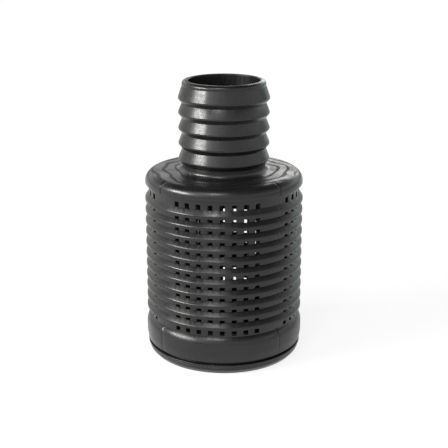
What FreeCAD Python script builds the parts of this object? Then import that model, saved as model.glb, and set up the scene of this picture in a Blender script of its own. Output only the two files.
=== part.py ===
"""Foot valve for a 50 mm suction hose, in millimetres.

A hose tail with five barbs, a shoulder flange and a ribbed strainer cage are one moulding. A plate
closes its foot. A seat ring with a swing clapper sits in a collar under the hose tail.
The origin is at the centre of the underside of the base plate, and +Z points up along the axis.
"""
import FreeCAD, Part
import math
import os
import Sketcher

Vector = FreeCAD.Vector
Rotation = FreeCAD.Rotation

# alias: (value, meaning)
SIZES = {
    # moulded body
    "total_height": (161.0, "underside of the base plate to the mouth of the hose tail"),
    "bore_radius": (20.5, "waterway through the hose tail"),
    "root_radius": (23.9, "hose tail between and below the barbs"),
    "mouth_round": (2.4, "rounding outside the mouth"),
    "mouth_break": (0.5, "rounding inside the mouth"),
    "barb_count": (4, "barbs below the top one"),
    "barb_pitch": (8.75, "from barb to barb"),
    "barb_lowest": (116.5, "height of the lowest barb's crest"),
    "barb_radius": (26.0, "crest of a barb"),
    "top_barb_height": (151.1, "height of the top barb's crest"),
    "top_barb_radius": (26.1, "crest of the top barb"),
    "top_barb_cone": (6.6, "lead-in cone above the top barb's crest"),
    "barb_land": (0.8, "straight part of the crest"),
    "barb_cone": (5.3, "lead-in cone above a lower barb's crest"),
    "barb_back": (2.5, "flank below the crest"),
    "flange_radius": (45.5, "shoulder flange"),
    "flange_top": (109.0, "height of its upper face"),
    "flange_bottom": (102.2, "height of its lower edge"),
    "flange_round": (5.8, "rounding of its upper edge"),
    "neck_fillet": (2.75, "fillet between hose tail and flange"),
    "ceiling_height": (105.5, "inner face of the shoulder"),
    "collar_outer": (31.0, "collar that holds the seat ring"),
    "collar_inner": (27.0, "its bore"),
    "collar_bottom": (96.5, "its lower edge"),
    "ring_groove_radius": (28.4, "groove for the retaining ring"),
    "ring_groove_bottom": (97.9, "height of its lower face"),
    "ring_groove_top": (99.5, "height of its upper face"),
    "cage_outer": (43.5, "cage wall between the rib rings"),
    "cage_inner": (40.0, "inner face of the cage"),
    "cage_floor": (19.5, "where the cage wall ends inside"),
    "rib_count": (11, "rib rings round the cage"),
    "rib_pitch": (6.5, "from rib ring to rib ring"),
    "rib_lowest": (28.9, "height where the lowest rib ring's slope would meet its face"),
    "rib_radius": (45.7, "crest of a rib ring"),
    "rib_face": (1.7, "height of its upright face before rounding"),
    "rib_roof": (2.5, "height of the slope above that face"),
    "rib_floor": (0.3, "drop of the underside towards the wall"),
    "rib_upper_round": (1.7, "rounding between slope and face"),
    "rib_lower_round": (0.25, "rounding of the lower edge"),
    "overlap": (0.25, "how far rings reach into the wall they stand on"),
    "slot_columns": (8, "columns of slots in one quarter"),
    "slot_pitch": (8.85, "angle from column to column"),
    "slot_width": (2.8, "width of a slot"),
    "slot_depth_radius": (43.65, "how far out a slot reaches from inside"),
    "slot_bottom": (23.6, "lower end of the slots"),
    "slot_top": (99.7, "upper end of the slots"),
    "band_radius": (46.05, "plain band at the foot of the cage"),
    "band_inner": (42.2, "its inner face"),
    "band_top": (22.8, "where its shoulder meets the cage wall"),
    "band_bottom": (8.0, "height of its lower edge"),
    "band_foot_radius": (45.5, "its lower edge"),
    "band_belly_bottom": (12.0, "lower end of its upright part"),
    "band_shoulder": (20.6, "height where the shoulder's slope would meet its upright part"),
    "band_round": (7.2, "rounding of the shoulder"),
    "band_break": (0.35, "rounding of its lower edge"),
    "boss_circle": (37.6, "distance of the screw bosses from the axis"),
    "boss_radius": (4.8, "screw boss"),
    "boss_top": (23.0, "upper end of a screw boss"),
    "pilot_radius": (1.95, "hole in a screw boss"),
    "pilot_top": (19.0, "blind end of that hole"),
    # base plate
    "plate_radius": (45.3, "base plate"),
    "plate_rim": (6.1, "height of its rim's upper face"),
    "plate_flank": (5.0, "lower end of the rim's upright edge"),
    "plate_chine_radius": (44.3, "turn of its lower side"),
    "plate_chine_height": (2.4, "height of that turn"),
    "plate_foot_radius": (42.1, "outer edge of its underside"),
    "plate_seat_radius": (43.0, "raised face that carries the body"),
    "plate_floor": (5.0, "inner face of the plate"),
    "plate_round": (2.6, "rounding of the turn"),
    "plate_break": (0.5, "rounding of its upper edge and its foot"),
    "recess_radius": (28.0, "recess in its underside"),
    "recess_depth": (1.4, "depth of that recess"),
    "spigot_outer": (41.8, "locating ring inside the band"),
    "spigot_inner": (39.2, "its inner face"),
    "spigot_top": (12.0, "its upper edge"),
    "boss_gap": (0.4, "room round a boss in the locating ring"),
    "screw_count": (4, "base screws, bosses and quarters of the cage"),
    "head_hole_radius": (3.8, "counterbore for a screw head"),
    "head_hole_depth": (2.8, "depth of the counterbore"),
    "screw_hole_radius": (2.15, "clearance hole in the plate"),
    "screw_head_radius": (3.4, "base screw head"),
    "screw_head_height": (2.2, "height of that head"),
    "screw_radius": (1.9, "base screw shank"),
    "screw_length": (12.6, "shank below the head"),
    "screw_tip": (1.6, "pointed end of the shank"),
    "recess_arm": (3.8, "cross recess, arm length"),
    "recess_arm_width": (0.9, "cross recess, arm width"),
    "recess_arm_depth": (1.3, "cross recess, depth"),
    # seat ring
    "seat_outer": (26.88, "seat ring in the collar"),
    "seat_spigot": (20.3, "part of it that stands in the hose tail"),
    "seat_step": (108.0, "upper face of that part"),
    "seat_height": (109.0, "height of the seat itself"),
    "port_radius": (13.5, "opening in the seat ring"),
    "port_offset": (2.0, "port centre from the axis, away from the hinge"),
    "lip_width": (1.7, "width of the seat lip"),
    "inlet_chamfer": (3.0, "chamfer under the port"),
    "oring_section": (1.2, "radius of the O-ring's section"),
    "oring_groove_bottom": (101.1, "lower face of its groove"),
    "oring_groove_height": (3.0, "height of its groove"),
    # hinge
    "hinge_height": (114.0, "height of the hinge axis"),
    "hinge_offset": (15.8, "distance of the hinge axis from the valve axis"),
    "pin_radius": (1.25, "hinge pin"),
    "pin_length": (19.4, "its length"),
    "pin_fit": (0.03, "room round the pin in the lugs"),
    "pin_running_fit": (0.08, "room round the pin in the arm"),
    "pin_end_break": (0.3, "chamfer on the pin's ends"),
    "lug_inner": (5.6, "inner face of a lug from the middle"),
    "lug_width": (2.8, "width of a lug"),
    "lug_radius": (2.6, "rounded head of a lug"),
    "clip_radius": (2.1, "pin clip"),
    "clip_width": (0.6, "its thickness"),
    "clip_gap": (0.1, "between clip and lug"),
    # clapper
    "seal_radius": (15.4, "rubber facing"),
    "seal_thickness": (2.5, "its thickness"),
    "disc_radius": (15.8, "backing disc"),
    "disc_thickness": (2.0, "its thickness"),
    "disc_flat": (12.8, "flat on the disc, from the valve axis"),
    "hub_radius": (2.6, "hub of the arm"),
    "hub_width": (10.8, "its width between the lugs"),
    "arm_width": (7.0, "swing arm"),
    "arm_thickness": (3.0, "its thickness"),
    "arm_boss_radius": (5.6, "round end of the arm"),
    "washer_radius": (7.0, "washer under the facing"),
    "washer_thickness": (1.2, "its thickness"),
    "bolt_radius": (2.0, "clapper screw"),
    "bolt_hole": (2.1, "holes for the clapper screw"),
    "bolt_head_radius": (3.6, "head of that screw"),
    "bolt_head_height": (2.6, "height of that head"),
    "bolt_end": (1.2, "screw end that shows above the nut"),
    "nut_flats": (7.0, "clapper nut, across flats"),
    "nut_height": (3.2, "its height to the collar"),
    "nut_collar_radius": (3.1, "round collar of the lock nut"),
    "nut_collar_height": (1.4, "its height"),
    # retaining ring
    "snap_inner": (24.4, "retaining ring, inner edge"),
    "snap_outer": (28.3, "retaining ring, outer edge"),
    "snap_thickness": (1.5, "its thickness"),
    "snap_gap": (36.0, "its opening, as an angle"),
    "snap_eye_radius": (2.4, "eyes at its ends"),
    "snap_eye_hole": (1.0, "holes in the eyes"),
    "snap_eye_circle": (24.6, "distance of the eyes from the axis"),
}


class Size:
    """A number that also carries the sheet expression it comes from."""

    def __init__(self, number, text):
        self.number = number
        self.text = text

    def __add__(self, other):
        other = as_size(other)
        return Size(self.number + other.number, f"({self.text} + {other.text})")

    def __sub__(self, other):
        other = as_size(other)
        return Size(self.number - other.number, f"({self.text} - {other.text})")

    def __mul__(self, factor):
        factor = as_size(factor)
        return Size(self.number * factor.number, f"({self.text} * {factor.text})")

    def __truediv__(self, factor):
        factor = as_size(factor)
        return Size(self.number / factor.number, f"({self.text} / {factor.text})")

    def __neg__(self):
        return Size(-self.number, f"(0 - {self.text})")


def as_size(value):
    """A Size as it is, or a plain number made into one."""
    if isinstance(value, Size):
        return value
    return Size(value, repr(value))


class Sheet:
    """The driving dimensions as attributes, each bound to its cell."""

    def __init__(self, document, sizes):
        self.cells = document.addObject("Spreadsheet::Sheet", "Sheet")
        for row, (alias, (value, meaning)) in enumerate(sizes.items(), start=1):
            self.cells.set(f"A{row}", alias)
            self.cells.set(f"B{row}", str(value))
            self.cells.set(f"C{row}", meaning)
            self.cells.setAlias(f"B{row}", alias)
            setattr(self, alias, Size(value, f"Sheet.{alias}"))


doc = FreeCAD.newDocument("FootValve")
s = Sheet(doc, SIZES)
doc.recompute()
zero = as_size(0)
nodes = {}


# ---------------------------------------------------------------- helpers

def bind(thing, path, size):
    """Tie one property to the sheet."""
    thing.setExpression(path, as_size(size).text)


def new_body(name):
    """An empty PartDesign body for one sub-part."""
    body = doc.addObject("PartDesign::Body", name)
    body.Label = name
    nodes[name] = body
    return body


def origin_feature(body, role):
    """The body's own origin plane or axis with that role."""
    return next(item for item in body.Origin.OriginFeatures if item.Role == role)


def new_sketch(body, name, role, offset=None, turn=None):
    """A sketch on an origin plane, lifted by offset and turned about its normal by turn degrees."""
    sketch = body.newObject("Sketcher::SketchObject", name)
    sketch.AttachmentSupport = [(origin_feature(body, role), "")]
    sketch.MapMode = "FlatFace"
    if turn is not None:
        sketch.AttachmentOffset = FreeCAD.Placement(Vector(), Rotation(Vector(0, 0, 1), turn.number))
        bind(sketch, "AttachmentOffset.Rotation.Angle", turn)
    if offset is not None:
        bind(sketch, "AttachmentOffset.Base.z", offset)
    return sketch


def constrain(sketch, kind, geometry, point, size):
    """Hold one point at a bound distance from the sketch's origin."""
    if abs(size.number) < 1e-9:
        axis = -2 if kind == "DistanceX" else -1
        sketch.addConstraint(Sketcher.Constraint("PointOnObject", geometry, point, axis))
        return
    index = sketch.addConstraint(Sketcher.Constraint(kind, -1, 1, geometry, point, size.number))
    bind(sketch, f"Constraints[{index}]", size)


def add_outline(sketch, corners):
    """A closed run of straight edges through corners, each given as a pair of sizes."""
    corners = [(as_size(first), as_size(second)) for first, second in corners]
    spots = [Vector(first.number, second.number, 0) for first, second in corners]
    start = sketch.GeometryCount
    for index, spot in enumerate(spots):
        following = spots[(index + 1) % len(spots)]
        sketch.addGeometry(Part.LineSegment(spot, following), False)
    for index, (first, second) in enumerate(corners):
        edge = start + index
        following = start + (index + 1) % len(corners)
        sketch.addConstraint(Sketcher.Constraint("Coincident", edge, 2, following, 1))
        constrain(sketch, "DistanceX", edge, 1, first)
        constrain(sketch, "DistanceY", edge, 1, second)


def add_circle(sketch, centre_x, centre_y, radius):
    """A circle with its centre and radius bound."""
    centre_x = as_size(centre_x)
    centre_y = as_size(centre_y)
    spot = Vector(centre_x.number, centre_y.number, 0)
    circle = sketch.addGeometry(Part.Circle(spot, Vector(0, 0, 1), radius.number), False)
    if centre_x.number == 0 and centre_y.number == 0:
        sketch.addConstraint(Sketcher.Constraint("Coincident", circle, 3, -1, 1))
    else:
        constrain(sketch, "DistanceX", circle, 3, centre_x)
        constrain(sketch, "DistanceY", circle, 3, centre_y)
    index = sketch.addConstraint(Sketcher.Constraint("Radius", circle, radius.number))
    bind(sketch, f"Constraints[{index}]", radius)


def revolve(body, name, corners, kind="Revolution"):
    """Turn one outline of (radius, height) corners right round the axis."""
    sketch = new_sketch(body, f"{name}_sketch", "XZ_Plane")
    add_outline(sketch, corners)
    feature = body.newObject(f"PartDesign::{kind}", name)
    feature.Profile = sketch
    feature.ReferenceAxis = (sketch, ["V_Axis"])
    feature.Angle = 360
    doc.recompute()
    return feature


def pad(body, name, sketch, length):
    """Raise a sketch by a bound length."""
    feature = body.newObject("PartDesign::Pad", name)
    feature.Profile = sketch
    bind(feature, "Length", length)
    doc.recompute()
    return feature


def cut_up(body, name, sketch, length):
    """Cut a sketch upwards from its plane by a bound length, and prove that material went."""
    before = body.Shape.Volume
    feature = body.newObject("PartDesign::Pocket", name)
    feature.Profile = sketch
    feature.Reversed = True
    bind(feature, "Length", length)
    doc.recompute()
    if not body.Shape.Volume < before:
        raise RuntimeError(f"{name} cut nothing")
    return feature


def repeat_round(body, name, features, count):
    """Repeat features evenly round the axis."""
    pattern = body.newObject("PartDesign::PolarPattern", name)
    pattern.Originals = features
    pattern.Axis = (origin_feature(body, "Z_Axis"), [""])
    pattern.Angle = 360
    bind(pattern, "Occurrences", count)
    body.Tip = pattern
    doc.recompute()


def repeat_up(body, name, feature, pitch, count):
    """Repeat one feature upwards at a fixed pitch."""
    pattern = body.newObject("PartDesign::LinearPattern", name)
    pattern.Originals = [feature]
    pattern.Direction = (origin_feature(body, "Z_Axis"), [""])
    bind(pattern, "Length", pitch * (count - 1))
    bind(pattern, "Occurrences", count)
    body.Tip = pattern
    doc.recompute()


def circle_at(shape, radius, height):
    """Name of the round edge with that radius at that height."""
    for index, edge in enumerate(shape.Edges, start=1):
        curve = edge.Curve
        if not isinstance(curve, Part.Circle):
            continue
        if abs(curve.Radius - radius.number) < 1e-4 and abs(curve.Center.z - height.number) < 1e-4:
            return f"Edge{index}"
    raise RuntimeError(f"no edge of radius {radius.number} at height {height.number}")


def round_edges(body, name, radius, heights, size):
    """Fillet the round edges of that radius at the heights given."""
    base = body.Tip
    feature = body.newObject("PartDesign::Fillet", name)
    feature.Base = (base, [circle_at(base.Shape, radius, height) for height in heights])
    bind(feature, "Radius", size)
    doc.recompute()


def place(thing, x=zero, y=zero, z=zero, rotation=None):
    """Put a Part object at a bound position."""
    if rotation is not None:
        thing.Placement = FreeCAD.Placement(Vector(), rotation)
    bind(thing, "Placement.Base.x", x)
    bind(thing, "Placement.Base.y", y)
    bind(thing, "Placement.Base.z", z)
    return thing


def cylinder(name, radius, height, x=zero, y=zero, z=zero, rotation=None):
    """A cylinder that starts at the point given."""
    thing = doc.addObject("Part::Cylinder", name)
    bind(thing, "Radius", radius)
    bind(thing, "Height", height)
    return place(thing, x, y, z, rotation)


def cone(name, lower, upper, height, x=zero, y=zero, z=zero, rotation=None):
    """A cone from the lower to the upper radius."""
    thing = doc.addObject("Part::Cone", name)
    bind(thing, "Radius1", lower)
    bind(thing, "Radius2", upper)
    bind(thing, "Height", height)
    return place(thing, x, y, z, rotation)


def box(name, length, width, height, x=zero, y=zero, z=zero):
    """A box with its lowest corner at the point given."""
    thing = doc.addObject("Part::Box", name)
    bind(thing, "Length", length)
    bind(thing, "Width", width)
    bind(thing, "Height", height)
    return place(thing, x, y, z)


def fuse(name, things):
    """One solid from several overlapping ones."""
    joined = doc.addObject("Part::MultiFuse", name)
    joined.Shapes = things
    return joined


def cut(name, base, tool):
    """The base without the tool."""
    result = doc.addObject("Part::Cut", name)
    result.Base = base
    result.Tool = tool
    return result


def finish(name, thing):
    """Register a finished sub-part under its own name."""
    thing.Label = name
    nodes[name] = thing
    doc.recompute()


ALONG_X = Rotation(Vector(0, 1, 0), 90)


# ---------------------------------------------------------------- moulded body

def barb_outline(crest, radius, cone_height):
    """Section of one barb, from its lead-in cone to the flank below."""
    inside = s.root_radius - s.overlap
    upper = crest + s.barb_land / 2
    lower = crest - s.barb_land / 2
    return [
        (inside, upper + cone_height),
        (s.root_radius, upper + cone_height),
        (radius, upper),
        (radius, lower),
        (s.root_radius, lower - s.barb_back),
        (inside, lower - s.barb_back),
    ]


def rib_outline():
    """Section of the lowest rib ring before its face is rounded: slope, face and underside."""
    inside = s.cage_outer - s.overlap
    crest = s.rib_lowest
    foot = crest - s.rib_face
    return [
        (inside, crest + s.rib_roof),
        (s.cage_outer, crest + s.rib_roof),
        (s.rib_radius, crest),
        (s.rib_radius, foot),
        (s.cage_outer, foot - s.rib_floor),
        (inside, foot - s.rib_floor),
    ]


def body_outline():
    """Section of the moulding without barbs, rib rings and slots."""
    return [
        (s.bore_radius, s.total_height),
        (s.root_radius, s.total_height),
        (s.root_radius, s.flange_top),
        (s.flange_radius, s.flange_top),
        (s.flange_radius, s.flange_bottom),
        (s.cage_outer, s.flange_bottom),
        (s.cage_outer, s.band_top),
        (s.band_radius, s.band_shoulder),
        (s.band_radius, s.band_belly_bottom),
        (s.band_foot_radius, s.band_bottom),
        (s.band_inner, s.band_bottom),
        (s.band_inner, s.cage_floor),
        (s.cage_inner, s.cage_floor),
        (s.cage_inner, s.ceiling_height),
        (s.collar_outer, s.ceiling_height),
        (s.collar_outer, s.collar_bottom),
        (s.collar_inner, s.collar_bottom),
        (s.collar_inner, s.ring_groove_bottom),
        (s.ring_groove_radius, s.ring_groove_bottom),
        (s.ring_groove_radius, s.ring_groove_top),
        (s.collar_inner, s.ring_groove_top),
        (s.collar_inner, s.ceiling_height),
        (s.bore_radius, s.ceiling_height),
    ]


def slot(body, column):
    """One upright slot cut into the cage from inside, centred in its quarter's row of columns."""
    turn = s.slot_pitch * (column - (SIZES["slot_columns"][0] - 1) / 2)
    sketch = new_sketch(body, f"slot_{column}_sketch", "XY_Plane", s.slot_bottom, turn)
    half = s.slot_width / 2
    start = s.cage_inner - s.slot_width
    add_outline(sketch, [
        (start, -half),
        (s.slot_depth_radius, -half),
        (s.slot_depth_radius, half),
        (start, half),
    ])
    return cut_up(body, f"slot_{column}", sketch, s.slot_top - s.slot_bottom)


def make_strainer_body():
    body = new_body("strainer_body")
    revolve(body, "moulding", body_outline())
    round_edges(body, "mouth_outside", s.root_radius, [s.total_height], s.mouth_round)
    round_edges(body, "mouth_inside", s.bore_radius, [s.total_height], s.mouth_break)
    round_edges(body, "neck", s.root_radius, [s.flange_top], s.neck_fillet)
    round_edges(body, "flange_edge", s.flange_radius, [s.flange_top], s.flange_round)
    round_edges(body, "flange_foot", s.flange_radius, [s.flange_bottom], s.mouth_break)
    round_edges(body, "band_shoulder", s.band_radius, [s.band_shoulder], s.band_round)
    round_edges(body, "band_foot", s.band_foot_radius, [s.band_bottom], s.band_break)
    revolve(body, "top_barb", barb_outline(s.top_barb_height, s.top_barb_radius, s.top_barb_cone))
    barb = revolve(body, "barb", barb_outline(s.barb_lowest, s.barb_radius, s.barb_cone))
    repeat_up(body, "barbs", barb, s.barb_pitch, s.barb_count)
    rib = revolve(body, "rib", rib_outline())
    repeat_up(body, "ribs", rib, s.rib_pitch, s.rib_count)
    crests = [s.rib_lowest + s.rib_pitch * step for step in range(SIZES["rib_count"][0])]
    feet = [crest - s.rib_face for crest in crests]
    round_edges(body, "rib_crests", s.rib_radius, crests, s.rib_upper_round)
    round_edges(body, "rib_feet", s.rib_radius, feet, s.rib_lower_round)
    columns = [slot(body, column) for column in range(SIZES["slot_columns"][0])]
    repeat_round(body, "slots", columns, s.screw_count)
    diagonal = as_size(45.0)
    sketch = new_sketch(body, "boss_sketch", "XY_Plane", s.plate_floor, diagonal)
    add_circle(sketch, s.boss_circle, zero, s.boss_radius)
    boss = pad(body, "boss", sketch, s.boss_top - s.plate_floor)
    repeat_round(body, "bosses", [boss], s.screw_count)
    sketch = new_sketch(body, "pilot_sketch", "XY_Plane", s.plate_floor, diagonal)
    add_circle(sketch, s.boss_circle, zero, s.pilot_radius)
    pilot = cut_up(body, "pilot", sketch, s.pilot_top - s.plate_floor)
    repeat_round(body, "pilots", [pilot], s.screw_count)


# ---------------------------------------------------------------- base plate and its screws

def plate_outline():
    """Section of the base plate with its recess, rim, raised face and locating ring."""
    return [
        (zero, s.recess_depth),
        (s.recess_radius, s.recess_depth),
        (s.recess_radius + s.recess_depth, zero),
        (s.plate_foot_radius, zero),
        (s.plate_chine_radius, s.plate_chine_height),
        (s.plate_radius, s.plate_flank),
        (s.plate_radius, s.plate_rim),
        (s.plate_seat_radius, s.plate_rim),
        (s.plate_seat_radius, s.band_bottom),
        (s.spigot_outer, s.band_bottom),
        (s.spigot_outer, s.spigot_top),
        (s.spigot_inner, s.spigot_top),
        (s.spigot_inner, s.plate_floor),
        (zero, s.plate_floor),
    ]


def make_base_plate():
    body = new_body("base_plate")
    revolve(body, "plate", plate_outline())
    round_edges(body, "plate_foot", s.plate_foot_radius, [zero], s.plate_break)
    round_edges(body, "plate_chine", s.plate_chine_radius, [s.plate_chine_height], s.plate_round)
    round_edges(body, "plate_rim_edge", s.plate_radius, [s.plate_rim], s.plate_break)
    diagonal = as_size(45.0)
    cuts = [
        ("boss_room", s.plate_floor, s.boss_radius + s.boss_gap, s.spigot_top),
        ("head_hole", zero, s.head_hole_radius, s.head_hole_depth),
        ("screw_hole", zero, s.screw_hole_radius, s.plate_floor),
    ]
    for name, start, radius, length in cuts:
        sketch = new_sketch(body, f"{name}_sketch", "XY_Plane", start, diagonal)
        add_circle(sketch, s.boss_circle, zero, radius)
        hole = cut_up(body, name, sketch, length)
        repeat_round(body, f"{name}s", [hole], s.screw_count)


def make_base_screw(number):
    """A pan-head self-tapping screw with a cross recess, driven upwards."""
    name = f"base_screw_{number}"
    seat = s.head_hole_depth
    head = cylinder(f"{name}_head", s.screw_head_radius, s.screw_head_height,
                    z=seat - s.screw_head_height)
    straight = s.screw_length - s.screw_tip
    shank = cylinder(f"{name}_shank", s.screw_radius, straight, z=seat)
    tip = cone(f"{name}_tip", s.screw_radius, s.screw_radius / 3, s.screw_tip, z=seat + straight)
    blank = fuse(f"{name}_blank", [head, shank, tip])
    half_arm = s.recess_arm / 2
    half_width = s.recess_arm_width / 2
    face = seat - s.screw_head_height
    first = box(f"{name}_recess_x", s.recess_arm, s.recess_arm_width, s.recess_arm_depth,
                -half_arm, -half_width, face)
    second = box(f"{name}_recess_y", s.recess_arm_width, s.recess_arm, s.recess_arm_depth,
                 -half_width, -half_arm, face)
    recess = fuse(f"{name}_recess", [first, second])
    screw = cut(name, blank, recess)
    azimuth = math.radians(45.0 + 90.0 * (number - 1))
    place(screw, s.boss_circle * math.cos(azimuth), s.boss_circle * math.sin(azimuth))
    finish(name, screw)


# ---------------------------------------------------------------- seat ring, its seal and its retaining ring

def seat_outline():
    """Section of the seat ring without its port, lip and lugs."""
    core = s.bore_radius / 4
    groove = s.collar_inner - s.oring_section * 2
    return [
        (core, s.ring_groove_top),
        (s.seat_outer, s.ring_groove_top),
        (s.seat_outer, s.oring_groove_bottom),
        (groove, s.oring_groove_bottom),
        (groove, s.oring_groove_bottom + s.oring_groove_height),
        (s.seat_outer, s.oring_groove_bottom + s.oring_groove_height),
        (s.seat_outer, s.ceiling_height),
        (s.seat_spigot, s.ceiling_height),
        (s.seat_spigot, s.seat_step),
        (core, s.seat_step),
    ]


def lug_blank(name, left):
    """One hinge lug: an upright block with a round head on the hinge axis."""
    foot = s.seat_step - s.lip_width
    block = box(f"{name}_block", s.lug_width, s.lug_radius * 2, s.hinge_height - foot,
                left, s.hinge_offset - s.lug_radius, foot)
    head = cylinder(f"{name}_head", s.lug_radius, s.lug_width, left, s.hinge_offset,
                    s.hinge_height, ALONG_X)
    return [block, head]


def make_seat_ring():
    body = doc.addObject("PartDesign::Body", "seat_blank")
    revolve(body, "seat_section", seat_outline())
    lip = cylinder("seat_lip", s.port_radius + s.lip_width, s.seat_height - s.ceiling_height,
                   y=-s.port_offset, z=s.ceiling_height)
    pieces = [body, lip]
    pieces += lug_blank("lug_left", -s.lug_inner - s.lug_width)
    pieces += lug_blank("lug_right", s.lug_inner)
    blank = fuse("seat_with_lugs", pieces)
    trim = doc.addObject("Part::Common", "seat_trimmed")
    trim.Base = blank
    trim.Tool = fuse("seat_envelope", [
        cylinder("seat_envelope_low", s.seat_outer, s.ceiling_height - s.ring_groove_top,
                 z=s.ring_groove_top),
        cylinder("seat_envelope_high", s.seat_spigot, s.hinge_height, z=s.ring_groove_top),
    ])
    port = cylinder("seat_port", s.port_radius, s.total_height, y=-s.port_offset)
    inlet = cone("seat_inlet", s.port_radius + s.inlet_chamfer, s.port_radius, s.inlet_chamfer,
                 y=-s.port_offset, z=s.ring_groove_top)
    bore = cylinder("lug_bore", s.pin_radius + s.pin_fit, s.pin_length, -s.pin_length / 2,
                    s.hinge_offset, s.hinge_height, ALONG_X)
    ring = cut("seat_ring", trim, fuse("seat_cuts", [port, inlet, bore]))
    finish("seat_ring", ring)


def make_seat_oring():
    ring = doc.addObject("Part::Torus", "seat_oring")
    bind(ring, "Radius1", s.collar_inner - s.oring_section)
    bind(ring, "Radius2", s.oring_section)
    place(ring, z=s.oring_groove_bottom + s.oring_groove_height / 2)
    finish("seat_oring", ring)


def make_retaining_ring():
    """An internal snap ring: an open band with a drilled eye at each end."""
    level = s.ring_groove_bottom
    hoop = cut("snap_hoop",
               cylinder("snap_outside", s.snap_outer, s.snap_thickness, z=level),
               cylinder("snap_inside", s.snap_inner, s.snap_thickness, z=level))
    wedge = cylinder("snap_opening", s.snap_outer * 2, s.snap_thickness, z=level)
    wedge.Placement = FreeCAD.Placement(Vector(), Rotation(Vector(0, 0, 1), -90 - SIZES["snap_gap"][0] / 2))
    bind(wedge, "Angle", s.snap_gap)
    open_hoop = cut("snap_open_hoop", hoop, wedge)
    eyes = []
    holes = []
    for side, name in ((-1, "left"), (1, "right")):
        azimuth = math.radians(-90 + side * SIZES["snap_gap"][0] / 2)
        x = s.snap_eye_circle * math.cos(azimuth)
        y = s.snap_eye_circle * math.sin(azimuth)
        eyes.append(cylinder(f"snap_eye_{name}", s.snap_eye_radius, s.snap_thickness, x, y, level))
        holes.append(cylinder(f"snap_hole_{name}", s.snap_eye_hole, s.snap_thickness, x, y, level))
    ring = cut("retaining_ring", fuse("snap_blank", [open_hoop] + eyes), fuse("snap_holes", holes))
    finish("retaining_ring", ring)


# ---------------------------------------------------------------- hinge

def make_hinge_pin():
    half = s.pin_length / 2
    body_length = s.pin_length - s.pin_end_break * 2
    tip = s.pin_radius - s.pin_end_break
    pin = fuse("hinge_pin", [
        cylinder("pin_body", s.pin_radius, body_length, -half + s.pin_end_break,
                 s.hinge_offset, s.hinge_height, ALONG_X),
        cone("pin_end_left", tip, s.pin_radius, s.pin_end_break, -half,
             s.hinge_offset, s.hinge_height, ALONG_X),
        cone("pin_end_right", s.pin_radius, tip, s.pin_end_break, half - s.pin_end_break,
             s.hinge_offset, s.hinge_height, ALONG_X),
    ])
    finish("hinge_pin", pin)


def make_pin_clip(side, left):
    """A thin collar on the pin outside one lug."""
    name = f"pin_clip_{side}"
    collar = cylinder(f"{name}_blank", s.clip_radius, s.clip_width, left, s.hinge_offset,
                      s.hinge_height, ALONG_X)
    hole = cylinder(f"{name}_hole", s.pin_radius, s.clip_width, left, s.hinge_offset,
                    s.hinge_height, ALONG_X)
    finish(name, cut(name, collar, hole))


# ---------------------------------------------------------------- clapper

def clapper_level(*layers):
    """Height above the seat of the face on top of the layers given."""
    level = s.seat_height
    for layer in layers:
        level = level + layer
    return level


def drilled(name, blank, start, height):
    """A clapper piece with the screw's hole through it."""
    hole = cylinder(f"{name}_hole", s.bolt_hole, height, y=-s.port_offset, z=start)
    result = cut(name, blank, hole)
    finish(name, result)
    return result


def make_clapper_seal():
    blank = cylinder("clapper_seal_blank", s.seal_radius, s.seal_thickness, y=-s.port_offset,
                     z=s.seat_height)
    drilled("clapper_seal", blank, s.seat_height, s.seal_thickness)


def make_clapper_disc():
    start = clapper_level(s.seal_thickness)
    plate = cylinder("clapper_disc_plate", s.disc_radius, s.disc_thickness, y=-s.port_offset, z=start)
    width = s.disc_radius * 2
    flat = box("clapper_disc_flat", width, s.disc_radius, s.disc_thickness, -s.disc_radius,
               s.disc_flat, start)
    drilled("clapper_disc", cut("clapper_disc_blank", plate, flat), start, s.disc_thickness)


def make_clapper_arm():
    start = clapper_level(s.seal_thickness, s.disc_thickness)
    hub = cylinder("arm_hub", s.hub_radius, s.hub_width, -s.hub_width / 2, s.hinge_offset,
                   s.hinge_height, ALONG_X)
    beam = box("arm_beam", s.arm_width, s.hinge_offset + s.port_offset, s.arm_thickness,
               -s.arm_width / 2, -s.port_offset, start)
    boss = cylinder("arm_boss", s.arm_boss_radius, s.arm_thickness, y=-s.port_offset, z=start)
    bore = cylinder("arm_bore", s.pin_radius + s.pin_running_fit, s.hub_width, -s.hub_width / 2,
                    s.hinge_offset, s.hinge_height, ALONG_X)
    blank = cut("arm_blank", fuse("arm_solid", [hub, beam, boss]), bore)
    drilled("clapper_arm", blank, start, s.arm_thickness)


def make_seal_washer():
    start = s.seat_height - s.washer_thickness
    blank = cylinder("seal_washer_blank", s.washer_radius, s.washer_thickness, y=-s.port_offset, z=start)
    drilled("seal_washer", blank, start, s.washer_thickness)


def make_clapper_screw():
    """A hexagon-socket screw pushed up through washer, facing, disc and arm."""
    under = s.seat_height - s.washer_thickness
    top = clapper_level(s.seal_thickness, s.disc_thickness, s.arm_thickness, s.nut_height,
                        s.nut_collar_height, s.bolt_end)
    head = cylinder("bolt_head", s.bolt_head_radius, s.bolt_head_height, y=-s.port_offset,
                    z=under - s.bolt_head_height)
    shank = cylinder("bolt_shank", s.bolt_radius, top - under, y=-s.port_offset, z=under)
    socket = doc.addObject("Part::Prism", "bolt_socket")
    socket.Polygon = 6
    bind(socket, "Circumradius", s.bolt_radius * 0.85)
    bind(socket, "Height", s.bolt_head_height * 0.6)
    place(socket, y=-s.port_offset, z=under - s.bolt_head_height)
    finish("clapper_screw", cut("clapper_screw", fuse("bolt_blank", [head, shank]), socket))


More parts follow.
